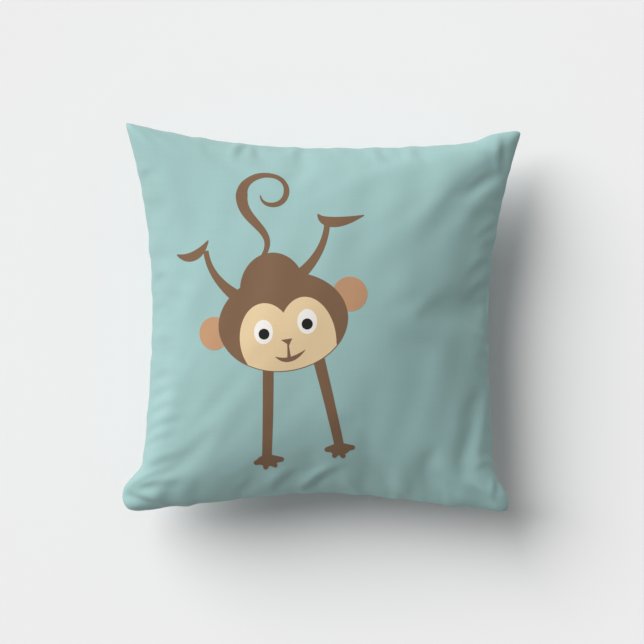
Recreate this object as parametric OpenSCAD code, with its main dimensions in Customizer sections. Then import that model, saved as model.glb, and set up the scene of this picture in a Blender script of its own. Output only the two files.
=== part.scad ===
// Square throw pillow with a removable printed cover.
// The pillow lies on its back: +X to the right of the print, +Y to the top of the print,
// +Z out of the printed face. The origin is under the middle, on the floor it rests on.

/* [Cover] */
// Side of each square panel before it is sewn and filled
panel = 406; // [396:1:416]
// Half width across the middle of the filled cover, along X
cover_mid_x = 165; // [160:1:170]
// Half width to the tips of the corners, along X
cover_corner_x = 195; // [190:1:200]
// Half width across the middle of the filled cover, along Y
cover_mid_y = 169.5; // [167:0.5:172]
// Half width to the tips of the corners, along Y
cover_corner_y = 191; // [187:1:196]
// Height of the front face above the seam
front_rise = 75; // [68:1:80]
// Height of the seam above the floor
seam_z = 70; // [64:1:72]
// Thickness of the cover fabric
fabric_t = 0.8; // [0.5:0.1:1]

/* [Insert] */
// Half width across the middle of the insert, along X
insert_mid_x = 158; // [152:1:160]
// Half width to the corners of the insert, along X
insert_corner_x = 174; // [165:1:178]
// Half width across the middle of the insert, along Y
insert_mid_y = 156; // [150:1:157]
// Half width to the corners of the insert, along Y
insert_corner_y = 165; // [158:1:166]
// Thickness of the insert's lining fabric
lining_t = 0.8; // [0.7:0.1:0.9]

/* [Zip] */
// Half length of the opening in the bottom seam
opening = 135; // [133:1:138]
// Half width of the gap between the two lips of the opening
lip = 5; // [4.8:0.1:5.4]
// Depth of the zip's tapes behind the middle of the bottom edge
zip_depth = 6; // [5.6:0.1:6.2]
// Distance from one coil loop to the next
coil_pitch = 2; // [1.6:0.1:2.4]
// Length of the slider's body
slider_l = 10; // [9:0.5:11]
// Width of the slider's body
slider_w = 8.2; // [8:0.1:8.4]
// Length of the pull tab from its pivot to its tip
tab_l = 17; // [14:0.5:18]
// Width of the pull tab
tab_w = 5.2; // [4.8:0.1:5.6]

/* [Print] */
// Colour of the cover
cover_colour = "#9dc1bf"; // [#9dc1bf, #c9b79c, #d8d8d8]
// Colour of the fur
fur_colour = "#80614d"; // [#80614d, #6b6b6b, #a5744a]
// Thickness of the ink film
ink_t = 0.2; // [0.1:0.05:0.3]

/* [Hidden] */

cells = 22;          // grid cells across each curved face
even_share = 0.25;   // how much of the grid is evenly spaced, the rest crowding towards the edges
edge_power = 2.6;    // how late the sides curve out towards the corners
corner_full = 0.35;  // how much fuller a face is near its corners than a plain dome
lip_reach = 12;      // how quickly the lifted lips fade into the face
lip_taper = 16;      // length over which each end of the opening closes
gap = 0.9;           // room between the cover, the insert's case and the fill
rim_slope = 0.15;    // rise of a panel's cut edge from its outer face to its inner face

// A skin is [half panel, mid x, corner x, mid y, corner y, rise, lowest z, half rim height].
function skin(half, mx, cx, my, cy, rise, floor_z, rim) = [half, mx, cx, my, cy, rise, floor_z, rim];
function inside(k, t) = skin(k[0] - t, k[1] - t, k[2] - t, k[3] - t, k[4] - t, k[5] - t, k[6] + t, k[7] + rim_slope);

cover_skin = skin(panel / 2, cover_mid_x, cover_corner_x, cover_mid_y, cover_corner_y, front_rise, 0, 0);
case_rise = front_rise - fabric_t - gap;
case_skin = skin(panel / 2 - 13, insert_mid_x, insert_corner_x, insert_mid_y, insert_corner_y,
                 case_rise, fabric_t + gap, 0);
fill_rim = 2;         // half height of the fill along its edge
fill_skin = skin(panel / 2 - 16, insert_mid_x - 3, insert_corner_x - 9, insert_mid_y - 3,
                 insert_corner_y - 9, case_rise - lining_t - gap - fill_rim, fabric_t + lining_t + 2 * gap,
                 fill_rim);

function fade(u) = let (c = min(1, max(0, u))) 1 - c * c * (3 - 2 * c);
function grid(i) = let (u = 2 * i / cells - 1) even_share * u + (1 - even_share) * sin(90 * u);
function edge_at(mid, corner, u) = mid + (corner - mid) * pow(abs(u), edge_power);
function spread(half, edge, u) = half * u - (half - edge) * pow(u, 3);
function crown(s, t) = pow(1 - s * s, 1 - corner_full * t * t) * pow(1 - t * t, 1 - corner_full * s * s);
function plan(k, s, t) = [
    spread(k[0], edge_at(k[1], k[2], t), s),
    spread(k[0], edge_at(k[3], k[4], s), t)
];
function lift(k, x, t, has_zip) =
    k[7] + (has_zip ? lip * fade((abs(x) - opening + 4) / lip_taper) * pow(max(0, -t), lip_reach) : 0);
function skin_point(k, s, t, side, has_zip) = let (
    p = plan(k, s, t),
    z = seam_z + side * (k[5] * crown(s, t) + lift(k, p[0], t, has_zip))
) [p[0], p[1], max(z, k[6])];

// A grid of points over part of a skin, lifted by up.
function patch(k, side, has_zip, up, i0, i1, j0, j1) = [
    for (j = [j0:j1]) for (i = [i0:i1])
        skin_point(k, grid(i), grid(j), side, has_zip) + [0, 0, up]
];
function quad(a, b, c, d, flip) = flip ? [[a, c, b], [a, d, c]] : [[a, b, c], [a, c, d]];
function sheet_faces(w, h, first, flip) = [
    for (j = [0:h - 1]) for (i = [0:w - 1])
        let (a = first + j * (w + 1) + i)
        each quad(a, a + w + 1, a + w + 2, a + 1, flip)
];
function rim_loop(w, h) = concat(
    [for (i = [0:w - 1]) i],
    [for (j = [0:h - 1]) j * (w + 1) + w],
    [for (i = [w:-1:1]) h * (w + 1) + i],
    [for (j = [h:-1:1]) j * (w + 1)]
);
function rim_faces(w, h, flip) = let (loop = rim_loop(w, h), n = len(loop), top = (w + 1) * (h + 1)) [
    for (m = [0:n - 1])
        each quad(loop[m], loop[(m + 1) % n], loop[(m + 1) % n] + top, loop[m] + top, flip)
];

// A closed solid between two grids of w by h cells, the first one outside.
module between(outer, inner, w, h, flip) {
    polyhedron(
        points = concat(outer, inner),
        faces = concat(
            sheet_faces(w, h, 0, flip),
            sheet_faces(w, h, (w + 1) * (h + 1), !flip),
            rim_faces(w, h, flip)
        )
    );
}

// Half of a sewn case: one panel of fabric, t thick, on the front (side 1) or back (side -1).
module half_case(k, t, side, has_zip) {
    between(
        patch(k, side, has_zip, 0, 0, cells, 0, cells),
        patch(inside(k, t), side, has_zip, 0, 0, cells, 0, cells),
        cells, cells, side < 0
    );
}

// Thread or tube along a path in a level plane.
thread_sides = 6;
function along(path, m) = let (
    a = path[max(0, m - 1)], b = path[min(len(path) - 1, m + 1)], d = b - a
) d / norm(d);
module tube(path, r) {
    n = len(path);
    points = [
        for (m = [0:n - 1]) let (d = along(path, m), out = [d[1], -d[0], 0])
            for (c = [0:thread_sides - 1]) let (a = 360 * c / thread_sides)
                path[m] + r * (out * cos(a) + [0, 0, sin(a)])
    ];
    walls = [
        for (m = [0:n - 2]) for (c = [0:thread_sides - 1]) let (
            a = m * thread_sides + c,
            b = m * thread_sides + (c + 1) % thread_sides
        ) each quad(a, b, b + thread_sides, a + thread_sides, false)
    ];
    first = [for (c = [thread_sides - 1:-1:0]) c];
    last = [for (c = [0:thread_sides - 1]) (n - 1) * thread_sides + c];
    polyhedron(points = points, faces = concat(walls, [first, last]));
}

// Where the thread of a skin's seam runs: just inside the fabric, and further in at the corners.
function thread_line(k) = skin(k[0] - 1.4, k[1] - 1.4, k[2] - 5, k[3] - 1.4, k[4] - 5, 0, 0, 0);

// The edge of a skin from the bottom seam, round the left, top and right sides, to the bottom seam
// again, leaving out the bottom stretch where |x| is below free.
function edge_point(k, s, t) = let (p = plan(k, s, t)) [p[0], p[1], seam_z];
function seam_path(k, free) = concat(
    [for (i = [cells:-1:0]) let (p = edge_point(k, grid(i), -1)) if (p[0] < -free) p],
    [for (j = [1:cells]) edge_point(k, -1, grid(j))],
    [for (i = [1:cells]) edge_point(k, grid(i), 1)],
    [for (j = [cells - 1:-1:0]) edge_point(k, 1, grid(j))],
    [for (i = [cells - 1:-1:0]) let (p = edge_point(k, grid(i), -1)) if (p[0] > free) p]
);

// ---- Printed figure, in plan ----

function bezier(c, u) = len(c) == 1 ? c[0] : bezier(
    [for (i = [0:len(c) - 2]) c[i] * (1 - u) + c[i + 1] * u], u);
function bezier_normal(c, u) = let (
    d = bezier(c, min(1, u + 0.01)) - bezier(c, max(0, u - 0.01))
) [-d[1], d[0]] / norm(d);
function width_at(w, u) = w[0] * (1 - u) + w[2] * u + 4 * (w[1] - (w[0] + w[2]) / 2) * u * (1 - u);

// A brush stroke along a curve, with its width given at the start, the middle and the end.
module stroke(c, w, steps = 10) {
    one_side = [for (m = [0:steps]) let (u = m / steps) bezier(c, u) + bezier_normal(c, u) * width_at(w, u) / 2];
    other = [for (m = [steps:-1:0]) let (u = m / steps) bezier(c, u) - bezier_normal(c, u) * width_at(w, u) / 2];
    polygon(concat(one_side, other));
}
module oval(centre, radii, tilt = 0, fn = 40) {
    polygon([
        for (m = [0:fn - 1]) let (a = 360 * m / fn, x = radii[0] * cos(a), y = radii[1] * sin(a))
            centre + [x * cos(tilt) - y * sin(tilt), x * sin(tilt) + y * cos(tilt)]
    ]);
}

head_tilt = 9;
head_at = [-36, -4];
head_r = [62, 47];
left_eye = [-54.5, -13.5];
right_eye = [-13, -3.5];
left_palm = [-51.5, -133];
right_palm = [17, -122];

module head_2d() { oval(head_at, head_r, head_tilt, 56); }
module hips_2d() { oval([-46, 27], [31, 35]); }
module tail_2d() {
    stroke([[-57, 56], [-36, 84], [-78, 90], [-76, 118]], [4, 7.5, 11.5]);
    stroke([[-76, 117.5], [-76, 141], [-33, 143], [-33, 121]], [11.5, 5, 5.5]);
    stroke([[-33, 121.5], [-33, 104], [-57, 104], [-58, 117]], [5.5, 4.5, 1]);
}
module legs_2d() {
    stroke([[-70, 14], [-106, 34], [-110, 64]], [15, 7.5, 5]);
    stroke([[-138, 61], [-120, 51], [-108, 74]], [1, 9, 1]);
    stroke([[-28, 34], [4, 58], [6, 91]], [13, 7.5, 5.5]);
    stroke([[-3, 99], [4, 84], [41, 98]], [1, 10, 1]);
}
module hand_2d(palm, tips) {
    oval(palm - [0, 1.5], [10, 5.5], 0, 20);
    for (tip = tips) {
        stroke([palm, palm + tip * 0.9], [6.5, 6, 5.6], 2);
        oval(palm + tip * 0.9, [3, 3], 0, 16);
    }
}
module arms_2d() {
    stroke([[-50, -38], [-50, -85], [-52, -131]], [9.5, 9, 8]);
    stroke([[-4, -32], [8, -78], [17, -120]], [11, 9, 7.5]);
    hand_2d(left_palm, [[-12, -4], [-2, -9], [8, -6.5], [15, 0]]);
    hand_2d(right_palm, [[-13, -2], [-5, -8.5], [4, -9], [14, 0]]);
}
module ears_2d() {
    difference() {
        union() {
            oval([-102, -15], [14, 16]);
            oval([27.5, 22.5], [16.5, 16.5]);
        }
        head_2d();
    }
}
module face_2d() {
    intersection() {
        oval(head_at, head_r - [0.8, 0.8], head_tilt, 56);
        union() {
            oval([-51, -22], [25, 34], 12);
            oval([-12.5, -20], [27, 40], 7);
            oval([-28, -34], [46, 22], 14);
        }
    }
}
module eye_whites_2d() {
    oval(left_eye, [9, 11.5], 0, 32);
    oval(right_eye, [9.3, 11.7], 0, 32);
}
module pupils_2d() {
    oval(left_eye + [0.5, -2], [5.2, 5.2], 0, 24);
    oval(right_eye + [0, -2.4], [5.3, 5.3], 0, 24);
}
module nose_mouth_2d() {
    polygon([[-38, -21], [-27, -19.4], [-30, -26]]);
    stroke([[-31.2, -24], [-30, -39]], [1.6, 2.4, 4], 4);
    stroke([[-43, -37], [-30, -45], [-15, -30.5]], [0.6, 4.6, 0.6]);
}
module fur_2d() {
    difference() {
        union() {
            head_2d();
            hips_2d();
            tail_2d();
            legs_2d();
            arms_2d();
        }
        face_2d();
    }
}

// An ink film on the front face in the shape of its children.
ink_gap = 0.05;
ink_first = 3;                 // grid cells between the edge of the face and the printed part
ink_last = cells - ink_first;
module ink_film() {
    cols = ink_last - ink_first;
    intersection() {
        between(
            patch(cover_skin, 1, true, ink_gap + ink_t, ink_first, ink_last, ink_first, ink_last),
            patch(cover_skin, 1, true, ink_gap, ink_first, ink_last, ink_first, ink_last),
            cols, cols, false
        );
        translate([0, 0, seam_z]) linear_extrude(front_rise + 5) children();
    }
}

// ---- Zip ----

tape_y = -cover_mid_y + zip_depth;   // outer face of the tapes
tape_t = 0.5;
tape_in = 0.5;                       // the tapes' and coils' distance from the seam plane
tape_w = 8;
coil_z = 3;                          // outer edge of each coil, from the seam plane
coil_t = 2;
top_stop_x = opening - 10.5;
bottom_stop_x = -opening + 18;
stop_l = 2;
slider_x = top_stop_x - slider_l / 2 - 1;
plate_t = 1;
play = 0.35;                         // running clearance of the slider
outer_plate_y = tape_y - coil_t - play;
bridge_h = 2.6;
bridge_w = 1.6;
pivot_y = outer_plate_y - plate_t - 1.2;
pivot_r = 0.55;
stitch_l = 3;
stitch_pitch = 4;
stitch_r = 0.2;

// Everything on the front half of the zip is made at z > 0 and mirrored for the back half.
module zip_side(side) {
    translate([0, 0, seam_z]) mirror([0, 0, side < 0 ? 1 : 0]) children();
}
module tape(side) {
    zip_side(side) translate([-opening - 6, tape_y, tape_in]) cube([2 * opening + 12, tape_t, tape_w]);
}
// A comb of coil loops: a spine on the tape with one tooth for each turn.
module coil(side, offset_x) {
    x0 = bottom_stop_x + stop_l + 0.4;
    teeth = floor((top_stop_x - 0.4 - x0) / coil_pitch);
    tooth = coil_pitch * 0.45;
    outline = concat(
        [[x0, coil_z], [x0, coil_z - 0.7]],
        [for (n = [0:teeth - 1]) let (x = x0 + n * coil_pitch + offset_x) each
            [[x, coil_z - 0.7], [x, tape_in], [x + tooth, tape_in], [x + tooth, coil_z - 0.7]]],
        [[x0 + teeth * coil_pitch, coil_z - 0.7], [x0 + teeth * coil_pitch, coil_z]]
    );
    zip_side(side) translate([0, tape_y, 0]) rotate([90, 0, 0]) linear_extrude(coil_t) polygon(outline);
}
module stitching(side) {
    count = floor(2 * opening / stitch_pitch);
    zip_side(side) for (n = [0:count - 1])
        translate([-opening + n * stitch_pitch, tape_y - stitch_r, 8.5])
            rotate([0, 90, 0]) cylinder(h = stitch_l, r = stitch_r, $fn = 16);
}
module top_stop(side) {
    zip_side(side) translate([top_stop_x, tape_y - coil_t, tape_in]) cube([stop_l, coil_t, coil_z - tape_in + 0.3]);
}
// Wall of folded cover fabric between a lip and its tape.
module lip_facing(side) {
    zip_side(side) translate([-opening + 8, -cover_mid_y + 0.2, lip])
        cube([2 * opening - 16, zip_depth - 0.3, fabric_t]);
}
module slider_plate() {
    rotate([90, 0, 0]) linear_extrude(plate_t) intersection() {
        square([slider_l, slider_w], center = true);
        circle(r = slider_l * 0.58, $fn = 48);
    }
}

module cover_front() {
    color(cover_colour) union() {
        half_case(cover_skin, fabric_t, 1, true);
        lip_facing(1);
    }
}
module cover_back() {
    color(cover_colour) union() {
        half_case(cover_skin, fabric_t, -1, true);
        lip_facing(-1);
    }
}
module seam_thread() {
    color("#8fb3b0") tube(seam_path(thread_line(cover_skin), opening + 18), 0.3);
}
module care_label() {
    color("white") translate([-cover_mid_x + 5.4, -60, seam_z - 6]) cube([0.3, 24, 12]);
}
module print_fur() { color(fur_colour) ink_film() fur_2d(); }
module print_face() {
    color("#dcc293") ink_film() difference() {
        face_2d();
        eye_whites_2d();
        nose_mouth_2d();
    }
}
module print_ears() { color("#c49b78") ink_film() ears_2d(); }
module print_eye_whites() {
    color("#e2e4e3") ink_film() difference() {
        eye_whites_2d();
        pupils_2d();
    }
}
module print_pupils() { color("#2a2a29") ink_film() pupils_2d(); }
module print_nose_mouth() { color("#7c5d48") ink_film() nose_mouth_2d(); }
// The folded edge where the insert was closed after filling.
fold_l = 120;
fold_w = 2.2;
// Half of the insert's case, with its folded edge.
module case_half(side) {
    color("#f2f0ea") union() {
        half_case(case_skin, lining_t, side, false);
        zip_side(side) translate([-fold_l / 2, -insert_mid_y + lining_t / 2, 0]) cube([fold_l, fold_w, lining_t]);
    }
}
module insert_case_front() { case_half(1); }
module insert_case_back() { case_half(-1); }
module insert_seam_thread() { color("white") tube(seam_path(thread_line(case_skin), fold_l / 2 + 2), 0.3); }
module insert_fill() {
    color("#fbfbfb") between(
        patch(fill_skin, 1, false, 0, 0, cells, 0, cells),
        patch(fill_skin, -1, false, 0, 0, cells, 0, cells),
        cells, cells, false
    );
}
module zip_tape_front() { color("#8fb0ae") tape(1); }
module zip_tape_back() { color("#8fb0ae") tape(-1); }
module zip_coil_front() { color("#a9c4c2") coil(1, 0); }
module zip_coil_back() { color("#a9c4c2") coil(-1, coil_pitch / 2); }
module zip_stitching_front() { color("#8fb3b0") stitching(1); }
module zip_stitching_back() { color("#8fb3b0") stitching(-1); }
module zip_top_stop_front() { color("silver") top_stop(1); }
module zip_top_stop_back() { color("silver") top_stop(-1); }
module zip_bottom_stop() {
    color("silver") translate([bottom_stop_x, tape_y - coil_t, seam_z - coil_z])
        cube([stop_l, coil_t, 2 * coil_z]);
}
// Slider: an inner and an outer plate, joined by a thin wedge that runs between the coils.
module zip_slider() {
    flange_t = 0.7;
    wedge_t = 0.4;
    wedge_l = 4;
    color("silver") translate([slider_x, 0, seam_z]) union() {
        translate([0, outer_plate_y, 0]) slider_plate();
        translate([0, tape_y + tape_t + play + plate_t, 0]) slider_plate();
        for (z = [-slider_w / 2, slider_w / 2 - flange_t])
            translate([-slider_l * 0.35, outer_plate_y - plate_t, z])
                cube([slider_l * 0.7, plate_t + coil_t, flange_t]);
        translate([slider_l / 2 - wedge_l - 0.5, outer_plate_y - plate_t / 2, -wedge_t / 2])
            cube([wedge_l, coil_t + tape_t + 2 * play + plate_t, wedge_t]);
        translate([0, outer_plate_y - plate_t, 0]) difference() {
            translate([-2.4, -bridge_h, -bridge_w / 2]) cube([4.8, bridge_h + 0.2, bridge_w]);
            translate([-1.3, -2, -bridge_w]) cube([2.6, 2, 2 * bridge_w]);
        }
    }
}
// Pull tab: a round bar under the slider's bridge, two arms and a flat grip.
module zip_pull_tab() {
    tab_t = 1;
    arm_w = 1.2;
    window = 4.2;
    color("silver") translate([slider_x, pivot_y, seam_z]) union() {
        translate([0, 0, -tab_w / 2]) cylinder(h = tab_w, r = pivot_r, $fn = 32);
        for (z = [-tab_w / 2, tab_w / 2 - arm_w])
            translate([-window - 0.5, -tab_t / 2, z]) cube([window + 0.5, tab_t, arm_w]);
        translate([-tab_l + tab_w / 2, -tab_t / 2, -tab_w / 2]) cube([tab_l - tab_w / 2 - window, tab_t, tab_w]);
        translate([-tab_l + tab_w / 2, tab_t / 2, 0]) rotate([90, 0, 0]) cylinder(h = tab_t, r = tab_w / 2, $fn = 48);
    }
}

cover_front();
cover_back();
seam_thread();
care_label();
print_fur();
print_face();
print_ears();
print_eye_whites();
print_pupils();
print_nose_mouth();
insert_case_front();
insert_case_back();
insert_seam_thread();
insert_fill();
zip_tape_front();
zip_tape_back();
zip_coil_front();
zip_coil_back();
zip_stitching_front();
zip_stitching_back();
zip_top_stop_front();
zip_top_stop_back();
zip_bottom_stop();
zip_slider();
zip_pull_tab();
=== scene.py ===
"""Square throw pillow with a printed cover, lying on its back. Metres, in the CAD frame."""

import math

import bpy
import numpy as np
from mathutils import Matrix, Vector
from mathutils.geometry import delaunay_2d_cdt


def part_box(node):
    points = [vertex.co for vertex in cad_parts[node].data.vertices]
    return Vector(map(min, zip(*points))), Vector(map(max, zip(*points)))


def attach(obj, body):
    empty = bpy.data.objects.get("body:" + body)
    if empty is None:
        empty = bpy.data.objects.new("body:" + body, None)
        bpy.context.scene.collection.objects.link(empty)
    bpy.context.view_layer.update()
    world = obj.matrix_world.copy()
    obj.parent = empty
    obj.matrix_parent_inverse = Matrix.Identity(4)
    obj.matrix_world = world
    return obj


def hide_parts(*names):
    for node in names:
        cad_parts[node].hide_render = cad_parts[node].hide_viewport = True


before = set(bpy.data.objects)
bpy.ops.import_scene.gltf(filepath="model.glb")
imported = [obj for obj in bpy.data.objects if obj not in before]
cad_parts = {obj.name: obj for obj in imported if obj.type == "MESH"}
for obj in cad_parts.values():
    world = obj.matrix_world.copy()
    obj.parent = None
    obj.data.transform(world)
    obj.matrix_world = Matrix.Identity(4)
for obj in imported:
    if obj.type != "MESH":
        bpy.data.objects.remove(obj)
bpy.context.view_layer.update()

MM = 0.001

# ---------------------------------------------------------------- sizes

HALF_MM = 203                       # half the side of a flat panel
HALF = HALF_MM * MM
cover_lo, cover_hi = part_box("cover_front")
SEAM_Z = cover_lo.z
RISE = cover_hi.z - SEAM_Z          # of the front face above the seam
tape_lo, tape_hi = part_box("zip_tape_front")
TAPE_Y = tape_lo.y                  # outer face of the tapes
OPENING = tape_hi.x - 6 * MM        # half length of the opening
LIP = 5 * MM                        # half width of the gap between the lips
PRINT_LIFT = 0.14 * MM              # ink films stand this far off the fabric
CLOTH_T = 0.7 * MM

# Half width of the outline at the middle of each side, by the sign of the side.
MIDDLE_X = {-1: 166 * MM, 1: 164.5 * MM}
MIDDLE_Y = {-1: 170.5 * MM, 1: 167 * MM}
# One row per corner: its tip before rounding, the radii that round it, how late its X side and
# its Y side curve out to it, how much of that is a sudden flare, and where along the side it comes.
CORNERS = {
    (-1, 1): dict(tip=(194, 193.5), radii=(8, 6), bend=(2.2, 1.9), flare=(0, 0), span=(0.72, 0.88)),
    (1, 1): dict(tip=(198.5, 185.5), radii=(7, 14), bend=(1.8, 2.6), flare=(0, 0.4), span=(0.72, 0.88)),
    (-1, -1): dict(tip=(198, 194), radii=(32, 21), bend=(1.5, 1.4), flare=(0.55, 0), span=(0.72, 0.88)),
    (1, -1): dict(tip=(186, 193), radii=(14, 12), bend=(2, 1.4), flare=(0.55, 0), span=(0.77, 0.93)),
}


def smooth(low, high, x):
    u = np.clip((x - low) / (high - low), 0, 1)
    return u * u * (3 - 2 * u)


# ---------------------------------------------------------------- pillow's shape

def wave(along, seed):
    """Smooth seeded unevenness along an edge, with wavelengths of 14 to 45 mm."""
    rng = np.random.default_rng(seed)
    total = 0
    for length in np.linspace(14, 45, 7):
        total = total + np.sin(2 * math.pi * HALF_MM / length * along + rng.uniform(0, 2 * math.pi))
    return total / 2


def edge(axis, across, along):
    """Half width of the outline along an axis (0 X, 1 Y), on the side that across lies on, at along."""
    out = np.zeros(np.broadcast(across, along).shape)
    middle = (MIDDLE_X, MIDDLE_Y)[axis]
    for (sx, sy), corner in CORNERS.items():
        near, far = (sx, sy) if axis == 0 else (sy, sx)
        here = (np.where(across < 0, -1, 1) == near) & (np.where(along < 0, -1, 1) == far)
        u = np.abs(along)
        flare = corner["flare"][axis]
        share = (1 - flare) * u ** corner["bend"][axis] + flare * smooth(*corner["span"], u)
        out = np.where(here, middle[near] + (corner["tip"][axis] * MM - middle[near]) * share, out)
    scallop = 0.45 * MM * np.sign(across) * wave(along, 31 + axis) * (1 - np.abs(along) ** 6)
    return out + scallop * np.abs(across) ** 6


def plan(s, t):
    """Where a point of a flat panel lies in plan on the filled pillow. s and t run from -1 to 1."""
    def one(axis, across, along):
        late = 1 + (by_side(axis, across, LATE) - 1) * (1 - np.abs(along) ** 4)
        u = np.abs(across)
        return HALF * u - (HALF - edge(axis, across, along)) * u**late

    x, y = one(0, s, t), one(1, t, s)
    for (sx, sy), corner in CORNERS.items():
        rx, ry = np.multiply(corner["radii"], MM)
        x0, y0 = corner["tip"][0] * MM - rx, corner["tip"][1] * MM - ry
        here = (np.sign(s) == sx) & (np.sign(t) == sy) & (x > x0) & (y > y0)
        a, b = np.clip((x - x0) / rx, 0, 1), np.clip((y - y0) / ry, 0, 1)
        x, y = (np.where(here, x - rx * a * (1 - np.sqrt(1 - b * b / 2)), x),
                np.where(here, y - ry * b * (1 - np.sqrt(1 - a * a / 2)), y))
    return np.sign(s) * x, np.sign(t) * y


CORNER_FULL = 0.6                   # how much fuller a face is near its corners than a plain dome
# By axis (0 X, 1 Y) and side: how close to the seam a face's plan pulls in, and the power with which
# the face falls to its seam, where more is gentler at the seam.
LATE = {(0, -1): 3, (0, 1): 3, (1, -1): 3, (1, 1): 3.3}
GENTLE = {(0, -1): 0.95, (0, 1): 1.22, (1, -1): 0.88, (1, 1): 0.92}


def by_side(axis, across, values):
    """The value for the side that across lies on."""
    return np.where(across < 0, values[axis, -1], values[axis, 1])


def crown(s, t):
    """How high a face stands over the seam, as a share of its full rise."""
    in_x = by_side(0, s, GENTLE) - CORNER_FULL * t * t
    in_y = by_side(1, t, GENTLE) - CORNER_FULL * s * s
    return (1 - s * s) ** in_x * (1 - t * t) ** in_y


class Sheet:
    """A smooth surface through a square grid of points, as a uniform cubic B-spline."""

    def __init__(self, grid):
        self.cells = len(grid) - 1
        pad = np.concatenate([2 * grid[:1] - grid[1:2], grid, 2 * grid[-1:] - grid[-2:-1]])
        self.points = np.concatenate([2 * pad[:, :1] - pad[:, 1:2], pad, 2 * pad[:, -1:] - pad[:, -2:-1]], 1)

    def at(self, s, t):
        def weights(v):
            u = np.clip((v + 1) / 2 * self.cells, 0, self.cells - 1e-9)
            i = u.astype(int)
            f = u - i
            w = [(1 - f) ** 3, 3 * f**3 - 6 * f**2 + 4, -3 * f**3 + 3 * f**2 + 3 * f + 1, f**3]
            return i, [x / 6 for x in w]

        i, wx = weights(np.asarray(s, float))
        j, wy = weights(np.asarray(t, float))
        return sum(
            (wy[b] * wx[a])[..., None] * self.points[j + b, i + a]
            for a in range(4) for b in range(4)
        )


SIM_CELLS = 88
SIM_FRAMES = 30


def ripple(s, t, seed, low, high, count=10):
    """Smooth seeded unevenness of about unit size, with wavelengths between low and high metres."""
    rng = np.random.default_rng(seed)
    total = 0
    for _ in range(count):
        angle, phase = rng.uniform(0, 2 * math.pi, 2)
        k = 2 * math.pi * HALF / rng.uniform(low, high)
        total = total + np.sin(k * (s * math.cos(angle) + t * math.sin(angle)) + phase)
    return total / math.sqrt(count)


def start_grid(side):
    """The filled shape that the simulation starts from."""
    u = np.linspace(-1, 1, SIM_CELLS + 1)
    s, t = np.meshgrid(u, u)
    x, y = plan(s, t)
    inner = (1 - s**8) * (1 - t**8)
    z = SEAM_Z + side * RISE * crown(s, t)
    z += inner * 0.9 * MM * ripple(s, t, 3 + side, 30 * MM, 90 * MM)
    return np.stack([x, y, z], -1)


def inflate():
    """Fills two flat square panels, sewn along their edges, by cloth simulation. Returns both grids."""
    n = SIM_CELLS + 1
    front, back = start_grid(1), start_grid(-1)
    number = np.arange(n * n).reshape(n, n)
    under = number.copy()
    under[1:-1, 1:-1] = n * n + np.arange((n - 2) ** 2).reshape(n - 2, n - 2)
    start = np.concatenate([front.reshape(-1, 3), back[1:-1, 1:-1].reshape(-1, 3)])
    u = np.linspace(-HALF, HALF, n)
    flat = np.stack([*np.meshgrid(u, u), np.full((n, n), SEAM_Z)], -1)
    rest = np.concatenate([flat.reshape(-1, 3), flat[1:-1, 1:-1].reshape(-1, 3)])
    faces = [quads(number), quads(under)[:, ::-1]]

    mesh = bpy.data.meshes.new("filling")
    mesh.from_pydata(start.tolist(), [], np.concatenate(faces).tolist())
    cloth_object = bpy.data.objects.new("filling", mesh)
    bpy.context.scene.collection.objects.link(cloth_object)
    cloth_object.shape_key_add(name="filled")
    key = cloth_object.shape_key_add(name="flat")
    key.data.foreach_set("co", rest.ravel())
    key.value = 0
    seam = cloth_object.vertex_groups.new(name="seam")
    border = np.concatenate([number[0], number[-1], number[:, 0], number[:, -1]])
    seam.add(sorted(set(border.tolist())), 1.0, "REPLACE")

    # the cloth only finds its rest shape when another modifier has made the mesh before it
    cloth_object.modifiers.new("whole mesh", "WELD").merge_threshold = 1e-7
    modifier = cloth_object.modifiers.new("fill", "CLOTH")
    cloth = modifier.settings
    cloth.quality = 6
    cloth.mass = 0.15
    cloth.tension_stiffness, cloth.compression_stiffness, cloth.shear_stiffness = 40, 20, 10
    cloth.bending_stiffness = 3
    cloth.tension_damping = cloth.compression_damping = cloth.shear_damping = 5
    cloth.bending_damping = 0.5
    cloth.use_pressure = True
    cloth.uniform_pressure_force = 3
    cloth.effector_weights.gravity = 0
    cloth.vertex_group_mass = "seam"
    cloth.rest_shape_key = cloth_object.data.shape_keys.key_blocks["flat"]
    modifier.collision_settings.use_collision = False
    modifier.point_cache.frame_end = SIM_FRAMES
    for number_of_frame in range(1, SIM_FRAMES + 1):
        bpy.context.scene.frame_set(number_of_frame)
    evaluated = cloth_object.evaluated_get(bpy.context.evaluated_depsgraph_get())
    points = np.zeros(len(start) * 3)
    evaluated.data.vertices.foreach_get("co", points)
    points = points.reshape(-1, 3)
    bpy.data.objects.remove(cloth_object)
    bpy.context.scene.frame_set(1)
    return points[number], points[under]


def quads(number):
    """Faces over a grid of vertex numbers, counter-clockwise in its columns-then-rows plane."""
    return np.stack([number[:-1, :-1], number[:-1, 1:], number[1:, 1:], number[1:, :-1]], -1).reshape(-1, 4)


WRINKLE_SHARE = 0.4      # of the simulated wrinkles that show, because the fill behind them is soft
BROAD = 40               # blurs that leave only the broad swelling, which isn't kept
FINE_CELLS = 220

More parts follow.
